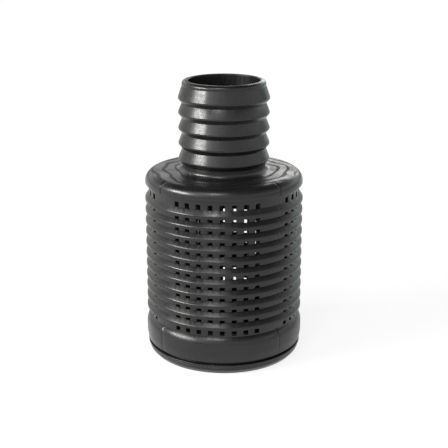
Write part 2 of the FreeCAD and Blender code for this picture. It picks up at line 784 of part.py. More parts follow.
def make_clapper_nut():
    start = clapper_level(s.seal_thickness, s.disc_thickness, s.arm_thickness)
    hexagon = doc.addObject("Part::Prism", "nut_hexagon")
    hexagon.Polygon = 6
    bind(hexagon, "Circumradius", s.nut_flats / 2 / math.cos(math.radians(30)))
    bind(hexagon, "Height", s.nut_height)
    place(hexagon, y=-s.port_offset, z=start)
    collar = cylinder("nut_collar", s.nut_collar_radius, s.nut_collar_height, y=-s.port_offset,
                      z=start + s.nut_height)
    blank = fuse("nut_blank", [hexagon, collar])
    hole = cylinder("nut_hole", s.bolt_radius, s.nut_height + s.nut_collar_height,
                    y=-s.port_offset, z=start)
    finish("clapper_nut", cut("clapper_nut", blank, hole))


# ---------------------------------------------------------------- build, check and write

def check_document():
    """Stop if anything in the document failed."""
    for thing in doc.Objects:
        if "Invalid" in thing.State or "Error" in thing.State:
            raise RuntimeError(f"{thing.Name} failed: {thing.State}")
    for name, thing in nodes.items():
        shape = thing.Shape
        if shape.isNull() or not shape.isValid():
            raise RuntimeError(f"{name} has no valid shape")


def write_parts():
    """One STEP file per sub-part."""
    os.makedirs("parts", exist_ok=True)
    for name, thing in nodes.items():
        thing.Shape.exportStep(f"parts/{name}.step")
        size = thing.Shape.BoundBox
        print(f"{name}: {len(thing.Shape.Solids)} solid, {thing.Shape.Volume / 1000:.2f} cm3, "
              f"z {size.ZMin:.2f} to {size.ZMax:.2f}")


make_strainer_body()
make_base_plate()
for screw_number in range(1, SIZES["screw_count"][0] + 1):
    make_base_screw(screw_number)
make_seat_ring()
make_seat_oring()
make_retaining_ring()
make_hinge_pin()
make_pin_clip("left", -s.lug_inner - s.lug_width - s.clip_gap - s.clip_width)
make_pin_clip("right", s.lug_inner + s.lug_width + s.clip_gap)
make_clapper_seal()
make_clapper_disc()
make_clapper_arm()
make_seal_washer()
make_clapper_screw()
make_clapper_nut()
doc.recompute()
check_document()
write_parts()
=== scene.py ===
"""The looks of a foot valve: a black moulded hose tail and strainer over a base plate, with a hinged clapper.

Lengths are in millimetres in the functions below and become metres when a mesh is made. Heights come from
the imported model, and +Z is the valve's axis.
"""
import math

import bmesh
import bpy
from mathutils import Matrix, Vector, noise


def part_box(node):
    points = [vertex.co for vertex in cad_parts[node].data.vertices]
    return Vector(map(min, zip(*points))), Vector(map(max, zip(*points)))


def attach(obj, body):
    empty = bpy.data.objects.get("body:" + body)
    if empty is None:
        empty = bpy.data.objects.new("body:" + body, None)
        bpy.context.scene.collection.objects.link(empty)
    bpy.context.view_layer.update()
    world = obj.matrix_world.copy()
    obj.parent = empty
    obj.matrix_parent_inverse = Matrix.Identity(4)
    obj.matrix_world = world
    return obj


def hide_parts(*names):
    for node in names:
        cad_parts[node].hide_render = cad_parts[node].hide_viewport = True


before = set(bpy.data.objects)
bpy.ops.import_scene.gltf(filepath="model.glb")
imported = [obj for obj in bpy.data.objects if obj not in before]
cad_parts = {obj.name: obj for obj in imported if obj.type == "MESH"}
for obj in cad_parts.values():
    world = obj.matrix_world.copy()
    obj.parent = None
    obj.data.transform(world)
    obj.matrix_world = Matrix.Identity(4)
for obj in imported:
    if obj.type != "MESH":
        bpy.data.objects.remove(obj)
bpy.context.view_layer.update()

MM = 0.001
FULL_TURN = 2 * math.pi


def node_box(name):
    """Lowest and highest corner of a CAD node, in millimetres."""
    low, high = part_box(name)
    return Vector(low) / MM, Vector(high) / MM


BODY_HIGH = node_box("strainer_body")[1]
MOUTH = BODY_HIGH.z
BODY_RADIUS = BODY_HIGH.x
PLATE_RADIUS = node_box("base_plate")[1].x

# hose tail
BORE = 20.5
BORE_TOP = MOUTH - 2.0
MOUTH_ROUND = 2.1
ROOT = 23.9
NECK_FILLET = 2.75
BARB_PITCH = 8.75
BARB_LAND = 0.8
BARB_BACK = 2.5
TOP_BARB = (MOUTH - 9.9, 26.1, 6.6)     # height and radius of its crest, height of its lead-in cone
LOWER_BARBS = [(MOUTH - 18.25 - BARB_PITCH * index, 26.0, 5.3) for index in range(4)]

# shoulder flange and what hangs inside it
FLANGE = 45.5
FLANGE_TOP = MOUTH - 52.0
FLANGE_FOOT = MOUTH - 58.8
FLANGE_ROUND = 5.8
CEILING = MOUTH - 55.5
COLLAR_OUTER = 31.0
COLLAR_INNER = 27.0
COLLAR_FOOT = MOUTH - 64.5
GROOVE = 28.4
GROOVE_TOP = MOUTH - 61.5
GROOVE_FOOT = MOUTH - 63.1

# strainer cage
WALL = 43.5
CAGE_INNER = 40.0
CAGE_FLOOR = 19.5
RIBS = 11
RIB_CREST = 45.7
RIB_PITCH = 6.5
RIB_FIRST = MOUTH - 67.1
RIB_FACE = 1.7
RIB_ROOF = 2.5
TOP_ROOF = 3.0      # the topmost rib's slope
RIB_FLOOR = 0.3
RIB_ROUND = 1.4
SLOT_BREAK = 0.12   # how far a slot's edges are drawn in, so that they don't look knife-sharp
SLOT_COLUMNS = 8
QUARTERS = 4
QUARTER = math.radians(90)
SLOT_PITCH = math.radians(8.85)
SLOT_WIDTH = 2.8
SLOT_REACH = 43.62
SLOT_TOP = MOUTH - 61.3
SLOT_FOOT = 23.6

# foot band
BAND = BODY_RADIUS - 0.07
BAND_TOP = 22.8
BAND_SHOULDER = BAND_TOP - 2.2
BAND_BELLY = 12.0
BAND_FOOT = 8.0
BAND_INNER = 42.2
BOSS_CIRCLE = 37.6
BOSS_RADIUS = 4.8
BOSS_TOP = 23.0
BOSS_FOOT = 5.0
BOSS_ANGLES = [math.radians(45 + 90 * quarter) for quarter in range(QUARTERS)]
PILOT = 1.95                    # hole for a base screw
PILOT_TOP = 19.0

# where the slides of the mould met, and how deep a groove they left, in millimetres
PARTINGS = [math.radians(angle) for angle in (-135.0, -41.0, 45.0, 139.0)]
GROOVE_HALF_WIDTH = 0.85        # degrees
TAIL_GROOVE = 0.03
FLANGE_GROOVE = 0.6
CAGE_GROOVE = 0.08
BAND_GROOVE = 0.2
BAND_NOTCH = 0.45               # added on the band's shoulder


# ---------------------------------------------------------------- outlines

def rounded(corners):
    """Points along a run of (radius, height, rounding, tag) corners, each corner turned by an arc.

    The rounding and the tag may be left out. Every point is (radius, height, tag), and only a corner
    with no rounding keeps its tag. Roundings that meet on a short edge share its length.
    """
    spots = [Vector(corner[:2]) for corner in corners]
    wanted = [0.0] * len(corners)
    for index in range(1, len(corners) - 1):
        size = corners[index][2] if len(corners[index]) > 2 else 0.0
        half = (spots[index - 1] - spots[index]).angle(spots[index + 1] - spots[index]) / 2
        wanted[index] = size / math.tan(half)
    points = []
    for index, here in enumerate(spots):
        if wanted[index] == 0.0:
            points.append((here.x, here.y, corners[index][3] if len(corners[index]) > 3 else ""))
            continue
        back = spots[index - 1] - here
        ahead = spots[index + 1] - here
        share = min(1.0, 0.98 * back.length / (wanted[index] + wanted[index - 1]),
                    0.98 * ahead.length / (wanted[index] + wanted[index + 1]))
        reach = wanted[index] * share
        half = back.angle(ahead) / 2
        radius = reach * math.tan(half)
        middle = here + (back.normalized() + ahead.normalized()).normalized() * radius / math.sin(half)
        first = here + back.normalized() * reach - middle
        final = here + ahead.normalized() * reach - middle
        sweep = first.angle_signed(final)
        steps = max(2, round(math.degrees(abs(sweep)) / 12))
        for step in range(steps + 1):
            turned = first.copy()
            turned.rotate(Matrix.Rotation(-sweep * step / steps, 2))
            points.append((middle.x + turned.x, middle.y + turned.y, ""))
    return points


# ---------------------------------------------------------------- meshes

def place_piece(name, bm, body, material, node, sharp_from=35):
    """Turn a bmesh in millimetres into a piece that rides on a body and stands for its CAD node."""
    bmesh.ops.remove_doubles(bm, verts=bm.verts, dist=1e-5)
    bmesh.ops.recalc_face_normals(bm, faces=bm.faces)
    bmesh.ops.scale(bm, vec=(MM, MM, MM), verts=bm.verts)
    mesh = bpy.data.meshes.new(name)
    bm.to_mesh(mesh)
    bm.free()
    mesh.shade_smooth()
    mesh.set_sharp_from_angle(angle=math.radians(sharp_from))
    piece = bpy.data.objects.new(name, mesh)
    bpy.context.scene.collection.objects.link(piece)
    mesh.materials.append(material)
    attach(piece, body)
    if node:
        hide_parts(node)
    return piece


def lathe(bm, points, segments=128, closed=True, matrix=None):
    """Turn a run of (radius, height) points about the Z axis, then move it by matrix."""
    rings = []
    for point in points:
        radius, height = point[0], point[1]
        if radius < 1e-6:
            rings.append([bm.verts.new((0, 0, height))] * segments)
            continue
        rings.append([bm.verts.new((radius * math.cos(FULL_TURN * step / segments),
                                    radius * math.sin(FULL_TURN * step / segments), height))
                      for step in range(segments)])
    count = len(rings) if closed else len(rings) - 1
    for index in range(count):
        upper = rings[index]
        lower = rings[(index + 1) % len(rings)]
        for step in range(segments):
            following = (step + 1) % segments
            corners = [upper[step], upper[following], lower[following], lower[step]]
            corners = list(dict.fromkeys(corners))
            if len(corners) > 2:
                bm.faces.new(corners)
    verts = list({vert: None for ring in rings for vert in ring})
    if matrix is not None:
        bmesh.ops.transform(bm, matrix=matrix, verts=verts)
    return verts


def prism(bm, outline, low, high, matrix=None):
    """A straight block with a flat outline of (x, y) points between two heights."""
    lower = [bm.verts.new((x, y, low)) for x, y in outline]
    upper = [bm.verts.new((x, y, high)) for x, y in outline]
    bm.faces.new(lower)
    bm.faces.new(upper)
    for index in range(len(outline)):
        following = (index + 1) % len(outline)
        bm.faces.new((lower[index], lower[following], upper[following], upper[index]))
    if matrix is not None:
        bmesh.ops.transform(bm, matrix=matrix, verts=lower + upper)
    return lower + upper


def scratch_object(bm):
    """A loose object made from a bmesh, for a boolean."""
    bmesh.ops.recalc_face_normals(bm, faces=bm.faces)
    mesh = bpy.data.meshes.new("scratch")
    bm.to_mesh(mesh)
    bm.free()
    thing = bpy.data.objects.new("scratch", mesh)
    bpy.context.scene.collection.objects.link(thing)
    return thing


def combine(bm, other, operation):
    """Boolean of two bmeshes, returned as a new one."""
    base = scratch_object(bm)
    tool = scratch_object(other)
    modifier = base.modifiers.new("boolean", "BOOLEAN")
    modifier.operation = operation
    modifier.object = tool
    modifier.solver = "EXACT"
    bpy.context.view_layer.update()
    solid = bpy.data.meshes.new_from_object(base.evaluated_get(bpy.context.evaluated_depsgraph_get()))
    result = bmesh.new()
    result.from_mesh(solid)
    for thing in (base, tool):
        mesh = thing.data
        bpy.data.objects.remove(thing)
        bpy.data.meshes.remove(mesh)
    bpy.data.meshes.remove(solid)
    return result


def thread(bm, root, crest, pitch, start, turns, segments=32):
    """A helical ridge with a triangular section round the Z axis, running out at both ends."""
    half = pitch * 0.42
    steps = int(turns * segments)
    rows = []
    for step in range(steps + 1):
        angle = FULL_TURN * step / segments
        height = start + pitch * step / segments
        fade = min(1.0, step / segments * 2, (steps - step) / segments * 2)
        top = root + (crest - root) * fade
        rows.append([bm.verts.new((radius * math.cos(angle), radius * math.sin(angle), height + lift))
                     for radius, lift in ((root - 0.15, -half), (top, 0.0), (root - 0.15, half))])
    for before, after in zip(rows, rows[1:]):
        for side in range(3):
            following = (side + 1) % 3
            bm.faces.new((before[side], before[following], after[following], after[side]))
    bm.faces.new(rows[0])
    bm.faces.new(rows[-1])


# ---------------------------------------------------------------- materials

class Nodes:
    """Short calls for the nodes of one material."""

    def __init__(self, name):
        self.material = bpy.data.materials.new(name)
        self.material.use_nodes = True
        self.tree = self.material.node_tree
        self.shader = next(node for node in self.tree.nodes if node.type == "BSDF_PRINCIPLED")
        self.place = self.add("ShaderNodeTexCoord").outputs["Object"]

    def add(self, kind, **settings):
        node = self.tree.nodes.new(kind)
        for key, value in settings.items():
            setattr(node, key, value)
        return node

    def link(self, source, target):
        self.tree.links.new(source, target)

    def stretched(self, scale):
        """The object's coordinates stretched along each axis."""
        node = self.add("ShaderNodeMapping")
        node.inputs["Scale"].default_value = scale
        self.link(self.place, node.inputs["Vector"])
        return node.outputs["Vector"]

    def noise(self, scale, detail=4.0, roughness=0.55, source=None, distortion=0.0):
        node = self.add("ShaderNodeTexNoise")
        node.inputs["Scale"].default_value = scale
        node.inputs["Detail"].default_value = detail
        node.inputs["Roughness"].default_value = roughness
        node.inputs["Distortion"].default_value = distortion
        self.link(self.place if source is None else source, node.inputs["Vector"])
        return node.outputs["Fac"]

    def ramp(self, source, *stops):
        node = self.add("ShaderNodeValToRGB")
        ramp = node.color_ramp
        while len(ramp.elements) < len(stops):
            ramp.elements.new(1.0)
        for element, (position, value) in zip(ramp.elements, stops):
            element.position = position
            element.color = (value, value, value, 1.0)
        self.link(source, node.inputs["Fac"])
        return node.outputs["Color"]

    def mix(self, factor, first, second):
        """Blend of two colours; the factor is a number or a socket."""
        node = self.add("ShaderNodeMix", data_type="RGBA")
        for socket, value in (("Factor", factor), ("A", first), ("B", second)):
            target = next(s for s in node.inputs if s.name == socket and s.enabled)
            if isinstance(value, bpy.types.NodeSocket):
                self.link(value, target)
            else:
                target.default_value = value
        return next(s for s in node.outputs if s.enabled)

    def maths(self, operation, first, second):
        node = self.add("ShaderNodeMath", operation=operation)
        for target, value in zip(node.inputs, (first, second)):
            if isinstance(value, bpy.types.NodeSocket):
                self.link(value, target)
            else:
                target.default_value = value
        return node.outputs["Value"]

    def bump(self, height, distance, strength=1.0, under=None):
        node = self.add("ShaderNodeBump")
        node.inputs["Distance"].default_value = distance
        node.inputs["Strength"].default_value = strength
        self.link(height, node.inputs["Height"])
        if under is not None:
            self.link(under, node.inputs["Normal"])
        return node.outputs["Normal"]

    def give(self, **sockets):
        """Values or links for the shader's own sockets."""
        for name, value in sockets.items():
            target = self.shader.inputs[name.replace("_", " ")]
            if isinstance(value, bpy.types.NodeSocket):
                self.link(value, target)
            else:
                target.default_value = value


def grey(value, warmth=0.0):
    """A nearly neutral colour."""
    return (value * (1 + warmth), value, value * (1 - warmth), 1.0)


def moulded_plastic(name, tone, gloss):
    """Injection-moulded plastic: uneven sheen, fine streaks up and round, flow lines on level faces, pale
    rubs on the edges and a little dust."""
    n = Nodes(name)
    cloud = n.noise(55.0, 5.0)
    streaks = n.noise(60.0, 6.0, source=n.stretched((1.0, 1.0, 0.12)), distortion=0.6)
    brushed = n.noise(900.0, 3.0, source=n.stretched((1.0, 1.0, 0.08)))
    drawn_round = n.noise(70.0, 5.0, source=n.stretched((1.0, 1.0, 22.0)))
    speck = n.noise(1400.0, 2.0)
    surface = n.add("ShaderNodeNewGeometry").outputs
    rub = n.ramp(surface["Pointiness"], (0.515, 0.0), (0.56, 1.0))
    rub = n.maths("MULTIPLY", rub, n.ramp(n.noise(160.0, 5.0), (0.42, 0.0), (0.62, 1.0)))
    normal = n.add("ShaderNodeSeparateXYZ")
    n.link(surface["Normal"], normal.inputs["Vector"])
    level = n.ramp(normal.outputs["Z"], (0.9, 0.0), (0.98, 1.0))
    rings = n.add("ShaderNodeTexWave", wave_type="RINGS", rings_direction="Z", wave_profile="SIN")
    for socket, value in (("Scale", 48.0), ("Distortion", 11.0), ("Detail", 2.0), ("Detail Scale", 0.6)):
        rings.inputs[socket].default_value = value
    n.link(n.place, rings.inputs["Vector"])
    flow = n.maths("MULTIPLY", n.ramp(rings.outputs["Fac"], (0.7, 0.0), (0.95, 1.0)), level)
    base = n.mix(n.ramp(cloud, (0.35, 0.0), (0.7, 1.0)), grey(tone * 0.8), grey(tone * 1.25, -0.02))
    base = n.mix(n.ramp(speck, (0.70, 0.0), (0.76, 0.35)), base, grey(tone * 7.0, 0.03))
    base = n.mix(n.maths("MULTIPLY", rub, 0.2), base, grey(tone * 4.5))
    rough = n.ramp(streaks, (0.3, gloss - 0.08), (0.7, gloss + 0.06))
    rough = n.maths("ADD", rough, n.ramp(brushed, (0.35, 0.0), (0.65, 0.08)))
    rough = n.maths("ADD", rough, n.ramp(drawn_round, (0.4, 0.0), (0.65, 0.08)))
    rough = n.maths("ADD", rough, n.maths("MULTIPLY", flow, 0.24))
    rough = n.mix(n.maths("MULTIPLY", rub, 0.25), rough, grey(0.55))
    skin = n.bump(n.noise(2600.0, 2.0), 0.00002, 0.35)
    waves = n.bump(n.noise(95.0, 2.0), 0.00012, 0.5, under=skin)
    drawn = n.bump(brushed, 0.00001, 0.3, under=waves)
    ringed = n.bump(drawn_round, 0.00001, 0.3, under=drawn)
    marked = n.bump(flow, 0.00012, 0.9, under=ringed)
    n.give(Base_Color=base, Roughness=rough, Normal=marked, IOR=1.47)
    return n.material


def plain_rubber(name):
    """Matte black rubber with a faint bloom."""
    n = Nodes(name)
    bloom = n.ramp(n.noise(240.0, 6.0), (0.4, 0.0), (0.75, 1.0))
    n.give(Base_Color=n.mix(bloom, grey(0.012), grey(0.035, 0.03)),
           Roughness=n.ramp(n.noise(600.0), (0.3, 0.6), (0.7, 0.8)),
           Normal=n.bump(n.noise(1800.0, 3.0), 0.00003, 0.6))
    return n.material


def stainless(name, stretch):
    """Stainless steel with drawn or turned marks along one direction and a few water stains."""
    n = Nodes(name)
    lines = n.noise(900.0, 3.0, source=n.stretched(stretch))
    stain = n.ramp(n.noise(180.0, 4.0), (0.45, 0.0), (0.75, 1.0))
    n.give(Base_Color=n.mix(stain, grey(0.56), grey(0.36, 0.05)),
           Metallic=1.0,
           Roughness=n.ramp(lines, (0.3, 0.24), (0.7, 0.42)),
           Normal=n.bump(lines, 0.00002, 0.5))
    return n.material


BLACK = moulded_plastic("black_moulding", 0.006, 0.25)
VALVE_GREY = moulded_plastic("valve_moulding", 0.03, 0.42)
RUBBER = plain_rubber("seal_rubber")
STEEL = stainless("turned_steel", (1.0, 1.0, 0.05))
SHEET_STEEL = stainless("rolled_steel", (1.0, 0.06, 1.0))


# ---------------------------------------------------------------- the moulded body

def barb_corners():
    """Outline of the barbs from top to bottom, each a lead-in cone, a crest and a short flank."""
    corners = []
    for crest, radius, cone in [TOP_BARB] + LOWER_BARBS:
        upper = crest + BARB_LAND / 2
        lower = crest - BARB_LAND / 2
        corners.append((ROOT, upper + cone, 0.5))
        corners.append((radius, upper, 0.5))
        corners.append((radius, lower, 0.45))
        corners.append((ROOT, lower - BARB_BACK, 0.35))
    return corners


def rib_corners():
    """Outline of the rib rings and of the wall between them, tagged where the slots break through."""
    out = SLOT_REACH - WALL
    corners = [(WALL, SLOT_TOP, 0.0, "hole_top")]
    for index in range(RIBS):
        crest = RIB_FIRST - RIB_PITCH * index
        foot = crest - RIB_FACE
        roof = RIB_ROOF if index else TOP_ROOF
        corners.append((WALL, crest + roof))
        corners.append((SLOT_REACH, crest + roof * (1 - out / (RIB_CREST - WALL)), 0.0, "hole_foot"))
        corners.append((RIB_CREST, crest, RIB_ROUND))
        corners.append((RIB_CREST, foot, 0.25))
        corners.append((SLOT_REACH, foot - RIB_FLOOR + out * 0.1, 0.0, "hole_top"))
        corners.append((WALL, foot - RIB_FLOOR, 0.1))
    corners.append((WALL, SLOT_FOOT, 0.0, "hole_foot"))
    return corners


def outer_corners():
    """Outline of the moulding's outside, from the mouth down to the foot of the band."""
    flange_rings = [(radius, FLANGE_TOP) for radius in range(28, 41)]
    return [
        (BORE, BORE_TOP),
        (BORE, MOUTH, 0.5),
        (ROOT, MOUTH, MOUTH_ROUND),
        *barb_corners(),
        (ROOT, FLANGE_TOP, NECK_FILLET),
        *flange_rings,
        (FLANGE, FLANGE_TOP, FLANGE_ROUND),
        (FLANGE, FLANGE_FOOT, 0.4),
        (WALL + 0.1, FLANGE_FOOT - 0.1, 0.4),
        *rib_corners(),
        (WALL, BAND_TOP),
        (BAND, BAND_SHOULDER, 7.3),
        (BAND, BAND_BELLY, 6.0),
        (BAND - 0.6, BAND_FOOT, 0.35),
    ]


def inner_corners(levels):
    """Outline of the inside, from the foot of the band up to the bore; levels are the slots' heights."""
    return [
        (BAND_INNER, BAND_FOOT, 0.5),
        (BAND_INNER, CAGE_FLOOR, 0.0),
        (CAGE_INNER, CAGE_FLOOR, 0.0),
        *[(CAGE_INNER, level, 0.0, "level") for level in levels],
        (CAGE_INNER, CEILING, 0.0),
        (COLLAR_OUTER, CEILING, 0.6),
        (COLLAR_OUTER, COLLAR_FOOT, 0.3),
        (COLLAR_INNER, COLLAR_FOOT, 0.3),
        (COLLAR_INNER, GROOVE_FOOT, 0.0),
        (GROOVE, GROOVE_FOOT, 0.0),
        (GROOVE, GROOVE_TOP, 0.0),
        (COLLAR_INNER, GROOVE_TOP, 0.0),
        (COLLAR_INNER, CEILING, 0.0),
        (BORE, CEILING, 0.3),
        *[(BORE, CEILING + step * (BORE_TOP - CEILING) / 8) for step in range(1, 8)],
    ]


def azimuth_lines():
    """Upright mesh lines round the body, as (azimuth, sideways offset in mm, role).

    Each slot has its own lines beside, on and between its edges. The pillars between the slots have
    plain lines, and close ones where the slides of the mould met.
    """
    lines = []
    edge = SLOT_WIDTH / 2
    beside = 0.2
    pillar_steps = 10
    span = QUARTER - SLOT_PITCH * (SLOT_COLUMNS - 1)
    for quarter in range(QUARTERS):
        middle = math.radians(-90 + 90 * quarter)
        for column in range(SLOT_COLUMNS):
            azimuth = middle + SLOT_PITCH * (column - (SLOT_COLUMNS - 1) / 2)
            lines.append((azimuth, -edge - beside, ""))
            lines.append((azimuth, -edge, "left"))
            lines.append((azimuth, 0.0, "middle"))
            lines.append((azimuth, edge, "right"))
            lines.append((azimuth, edge + beside, ""))
            if column < SLOT_COLUMNS - 1:
                lines.append((azimuth + SLOT_PITCH / 2, 0.0, ""))
        for step in range(1, pillar_steps):
            lines.append((azimuth + span * step / pillar_steps, 0.0, ""))
    for parting in PARTINGS:
        for degrees in (-0.9, -0.55, -0.3, 0.0, 0.3, 0.55, 0.9):
            lines.append((parting + math.radians(degrees), 0.0, ""))
    return sorted(set(lines), key=lambda line: line[0] % FULL_TURN + line[1] / WALL)


def parting_depth(azimuth, height):
    """How deep the skin dips at the nearest parting line: a groove on the shoulders, a hairline elsewhere."""
    off = min(abs(math.remainder(azimuth - parting, FULL_TURN)) for parting in PARTINGS)
    if height > FLANGE_TOP + 1:
        deep = TAIL_GROOVE
    elif height > FLANGE_FOOT - 0.3:
        deep = FLANGE_GROOVE
    elif height > BAND_TOP:
        deep = CAGE_GROOVE
    else:
        deep = BAND_GROOVE + BAND_NOTCH * max(0.0, 1 - abs(height - BAND_TOP + 1.2) / 2.5)
    return deep * max(0.0, 1 - math.degrees(off) / GROOVE_HALF_WIDTH)


def body_point(radius, height, azimuth, outside):
    """A point of the moulding, with its small unevenness."""
    spot = Vector((radius * math.cos(azimuth), radius * math.sin(azimuth), height))
    if not outside:
        return spot
    wave = noise.noise(spot * 0.09) * 0.05 + noise.noise(spot * 0.3 + Vector((7, 3, 1))) * 0.02
    radius += wave - parting_depth(azimuth, height)
    if abs(height - FLANGE_TOP) < 0.01:
        height += noise.noise(Vector((spot.x * 0.16, spot.y * 0.16, 2.0))) * 0.06
    return Vector((radius * math.cos(azimuth), radius * math.sin(azimuth), height))


def make_body_mesh():
    """The hose tail, flange, ribbed cage and band as one closed skin with open slots."""
    bm = bmesh.new()
    outer = rounded(outer_corners())
    tops = [index for index, point in enumerate(outer) if point[2] == "hole_top"]
    foots = [index for index, point in enumerate(outer) if point[2] == "hole_foot"]
    levels = sorted(outer[index][1] for index in tops + foots)
    inner = rounded(inner_corners(levels))
    profile = outer + inner
    outer_count = len(outer)
    level_rows = [index for index in range(outer_count, len(profile)) if profile[index][2] == "level"]
    row_at = {round(profile[index][1], 4): index for index in level_rows}
    open_rows = {index for top, foot in zip(tops, foots) for index in range(top, foot)}
    rim_rows = {index for top, foot in zip(tops, foots) for index in range(top + 1, foot)}
    lines = azimuth_lines()

    grid = []
    for index, (radius, height, _) in enumerate(profile):
        row = []
        outside = index < outer_count and radius > BORE + 1
        for azimuth, offset, role in lines:
            reach = radius
            if index in rim_rows and role in ("left", "right"):
                reach -= SLOT_BREAK
            turned = azimuth + math.asin(offset / reach)
            row.append(bm.verts.new(body_point(reach, height, turned, outside)))
        grid.append(row)

    count = len(lines)
    slot_spans = {step for step in range(count) if lines[step][2] in ("left", "middle")}
    for index in range(len(profile)):
        following = (index + 1) % len(profile)
        is_open = index in open_rows or (index in level_rows and following in level_rows)
        for step in range(count):
            if is_open and step in slot_spans:
                continue
            beside = (step + 1) % count
            bm.faces.new((grid[index][step], grid[following][step],
                          grid[following][beside], grid[index][beside]))

    for step in range(count):
        if lines[step][2] == "left":
            add_slot_walls(bm, grid, profile, tops, foots, row_at, step)
    return bm


def add_slot_walls(bm, grid, profile, tops, foots, row_at, left):
    """Sides, back strips and ends of one slot, whose three mesh lines start at left."""
    right = left + 2

    def inside(index):
        return grid[row_at[round(profile[index][1], 4)]]

    for number, (top, foot) in enumerate(zip(tops, foots)):
        for line in (left, right):
            rim = [grid[index][line] for index in range(top, foot + 1)]
            bm.faces.new([inside(top)[line], *rim, inside(foot)[line]])
        if number == len(tops) - 1:
            continue
        below = tops[number + 1]
        for line in (left, right):
            bm.faces.new((inside(foot)[line], grid[foot][line], grid[below][line], inside(below)[line]))
        for line in (left, left + 1):
            bm.faces.new((grid[foot][line], grid[foot][line + 1],
                          grid[below][line + 1], grid[below][line]))
    for index in (tops[0], foots[-1]):
        for line in (left, left + 1):
            bm.faces.new((inside(index)[line], inside(index)[line + 1],
                          grid[index][line + 1], grid[index][line]))


def add_screw_bosses(bm):
    """Four posts inside the band, each with a blind hole for a base screw."""
    points = rounded([
        (PILOT, BOSS_FOOT), (BOSS_RADIUS, BOSS_FOOT, 0.4), (BOSS_RADIUS - 0.2, BOSS_TOP, 1.2),
        (0.0, BOSS_TOP)])
    hole = [(0.0, PILOT_TOP), (1.4, PILOT_TOP - 0.4), (PILOT, PILOT_TOP - 1.2)]
    for azimuth in BOSS_ANGLES:
        spot = Vector((math.cos(azimuth), math.sin(azimuth), 0)) * BOSS_CIRCLE
        lathe(bm, hole + points, segments=48, closed=False, matrix=Matrix.Translation(spot))


def make_moulded_body():
    """The black moulding and the posts inside its band, as one piece."""
    bm = make_body_mesh()
    add_screw_bosses(bm)
    place_piece("moulded_body", bm, "valve", BLACK, "strainer_body")


# ---------------------------------------------------------------- base plate and base screws

SCREW_SEAT = 2.8
SCREW_HEAD = 3.4
SCREW_ROOT = 1.45
PLATE_RIM = 6.1
PLATE_SEAT = 43.0       # raised face that carries the body
PLATE_FLOOR = 5.0
SPIGOT_OUTER = 41.8     # locating ring inside the band
SPIGOT_INNER = 39.2
SPIGOT_TOP = 12.0
RECESS_DEPTH = 1.4


def make_base_plate():
    """Round plate with a recess below, a step that carries the body and a locating ring inside the band."""
    bm = bmesh.new()
    lathe(bm, rounded([
        (0.0, 1.1), (2.6, 1.1, 0.3), (2.9, RECESS_DEPTH, 0.3), (28.0, RECESS_DEPTH, 0.5), (29.4, 0.0, 0.5),
        (42.1, 0.0, 0.5), (44.3, 2.4, 2.6), (44.65, 3.3), (44.5, 3.45), (44.75, 3.6), (45.0, 4.4),
        (44.87, 4.55), (45.1, 4.7), (PLATE_RADIUS, 5.2, 0.6), (PLATE_RADIUS, PLATE_RIM, 0.4),
        (PLATE_SEAT, PLATE_RIM, 0.2), (PLATE_SEAT, BAND_FOOT, 0.2),
        (SPIGOT_OUTER, BAND_FOOT, 0.2), (SPIGOT_OUTER, SPIGOT_TOP, 0.4), (SPIGOT_INNER, SPIGOT_TOP, 0.4),
        (SPIGOT_INNER, PLATE_FLOOR, 0.5), (0.0, PLATE_FLOOR)]),
        segments=224, closed=False)
    cutters = bmesh.new()
    for azimuth in BOSS_ANGLES:
        spot = Matrix.Translation(Vector((math.cos(azimuth), math.sin(azimuth), 0)) * BOSS_CIRCLE)
        lathe(cutters, rounded([
            (0.0, -2.0), (4.6, -2.0), (4.15, -0.02), (3.8, 0.3), (3.8, SCREW_SEAT, 0.15),
            (2.15, SCREW_SEAT), (2.15, PLATE_FLOOR), (BOSS_RADIUS + 0.4, PLATE_FLOOR),
            (BOSS_RADIUS + 0.4, SPIGOT_TOP + 2.0), (0.0, SPIGOT_TOP + 2.0)]),
            segments=48, closed=False, matrix=spot)
    bm = combine(bm, cutters, "DIFFERENCE")
    place_piece("base_plate_moulding", bm, "valve", BLACK, "base_plate")


def cross_cutter(reach, width, taper, low, high):
    """A plus-shaped plug that narrows upwards, for a cross recess cut from below."""
    bm = bmesh.new()
    for turn in (0, 90):
        rotation = Matrix.Rotation(math.radians(turn), 4, "Z")
        verts = prism(bm, [(-reach, -width), (reach, -width), (reach, width), (-reach, width)],
                      low, high, rotation)
        for vert in verts[4:]:
            vert.co.x *= taper
            vert.co.y *= taper
    return bm


def make_base_screw(number):
    """Pan-head self-tapping screw with a cross recess, driven up into a boss."""
    name = f"base_screw_{number}"
    bm = bmesh.new()
    lathe(bm, rounded([
        (0.0, 0.62), (1.7, 0.66, 1.5), (3.0, 1.1, 1.2), (SCREW_HEAD, 2.2, 0.5),
        (SCREW_HEAD, SCREW_SEAT, 0.15), (SCREW_ROOT, SCREW_SEAT, 0.1), (SCREW_ROOT, 13.6), (0.4, 15.3),
        (0.0, 15.35)]), segments=48, closed=False)
    bm = combine(bm, cross_cutter(1.9, 0.42, 0.45, 0.3, 2.0), "DIFFERENCE")
    thread(bm, SCREW_ROOT, 1.9, 1.3, SCREW_SEAT + 0.9, 7.5)
    azimuth = BOSS_ANGLES[number - 1]
    turn = Matrix.Rotation(azimuth * 1.7 + number, 4, "Z")
    spot = Matrix.Translation((math.cos(azimuth) * BOSS_CIRCLE, math.sin(azimuth) * BOSS_CIRCLE, 0))
    bmesh.ops.transform(bm, matrix=spot @ turn, verts=bm.verts)
    place_piece(f"{name}_steel", bm, "valve", STEEL, name)


# ---------------------------------------------------------------- seat, hinge and clapper

